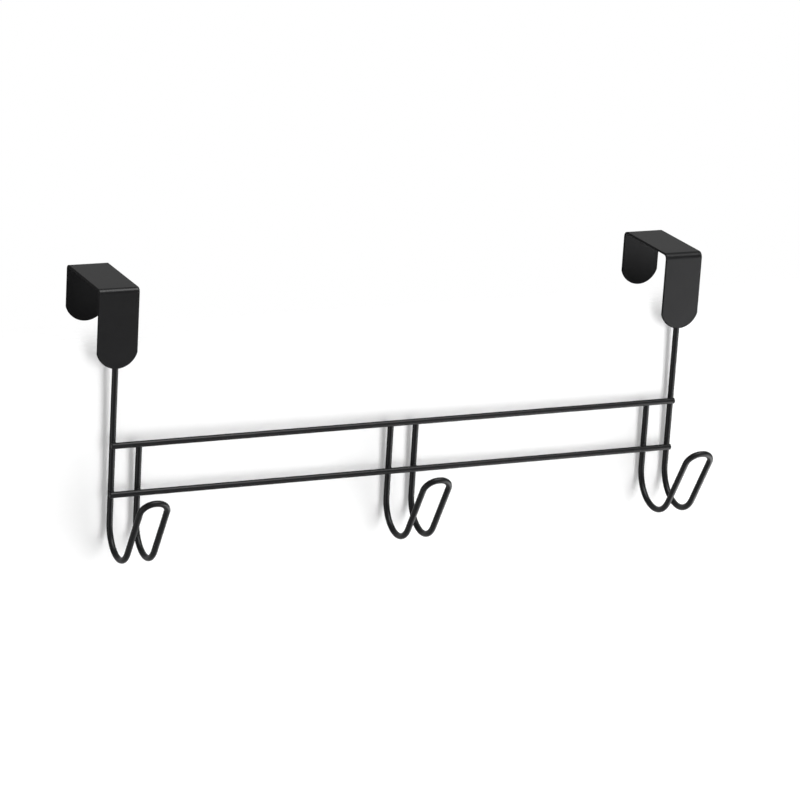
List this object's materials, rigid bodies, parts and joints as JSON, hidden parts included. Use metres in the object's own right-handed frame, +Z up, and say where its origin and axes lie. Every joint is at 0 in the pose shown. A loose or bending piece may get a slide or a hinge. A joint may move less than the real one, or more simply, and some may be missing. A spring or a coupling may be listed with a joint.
{
  "type": "over door hook rack",
  "caption": "Black wire coat rack that hangs over a door: folded strip hangers, cross bars and double hooks of bent wire, welded into one.",
  "frame": {"origin": "on the door's top edge, in the middle of the door's thickness and midway between the two hangers", "axes": "+X along the bars, -Y into the room, the side of the hooks, +Z up"},
  "size_m": [0.316, 0.0924, 0.1308],
  "materials": {
    "powder_coat": "satin"
  },
  "bodies": {
    "root": {"left_hanger": "powder_coat", "right_hanger": "powder_coat", "upper_bar": "powder_coat", "lower_bar": "powder_coat", "left_hook": "powder_coat", "middle_hook": "powder_coat", "right_hook": "powder_coat"}
  },
  "joints": []
}
